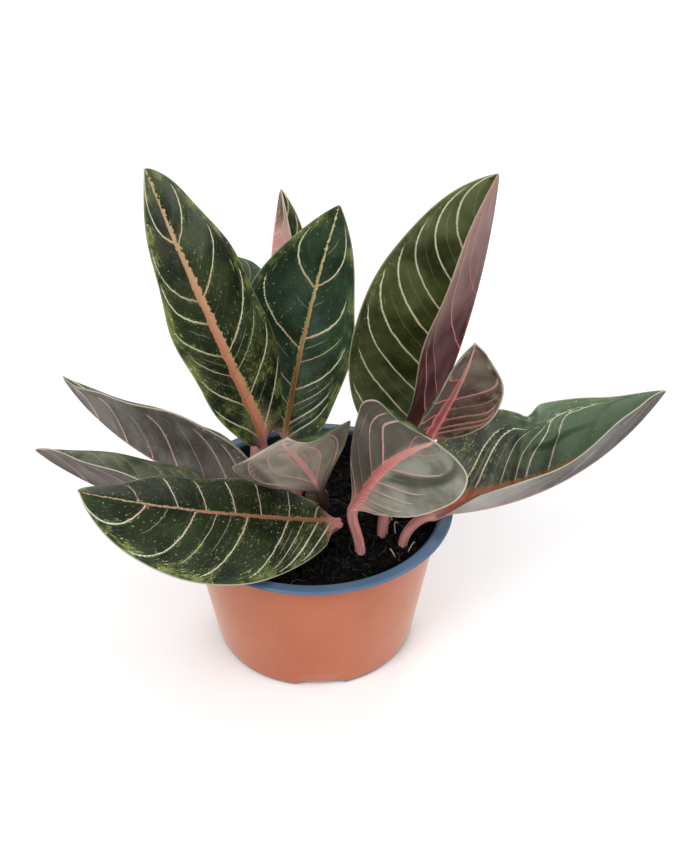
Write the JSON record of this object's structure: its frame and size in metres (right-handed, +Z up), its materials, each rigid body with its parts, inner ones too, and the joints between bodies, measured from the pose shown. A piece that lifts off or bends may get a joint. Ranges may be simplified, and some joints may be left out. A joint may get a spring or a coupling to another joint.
{
  "type": "potted aglaonema",
  "caption": "Low plastic pot of dark soil holding a tuft of broad, pointed, pink-veined leaves on upright stalks; a house plant that stands on its flat base.",
  "frame": {"origin": "centre of the pot's underside, on the surface that it stands on", "axes": "+Z up along the pot's axis; -Y towards the viewer of the picture; +X to the viewer's right"},
  "size_m": [0.3037, 0.2416, 0.2515],
  "materials": {
    "pot": "smooth moulded plastic with a soft sheen, terracotta outside, blue rim and inside",
    "soil": "damp, crumbly and fibrous",
    "cane": "ringed green-pink cane, satin",
    "leaf": "dark green, satin, with pink midrib and cream veins; underside grey-green to purple"
  },
  "bodies": {
    "root": {"pot": "pot", "soil": "soil", "cane_left": "cane", "cane_front": "cane", "cane_right": "cane", "leaf_tall_left": "leaf", "leaf_tall_middle": "leaf", "leaf_young_rolled": "leaf", "leaf_tall_right": "leaf", "leaf_small_right": "leaf", "leaf_side_right": "leaf", "leaf_front_left": "leaf", "leaf_side_left": "leaf", "leaf_low_left": "leaf", "leaf_front_small": "leaf", "leaf_front_middle": "leaf", "leaf_back_left": "leaf", "leaf_back_right": "leaf"}
  },
  "joints": []
}
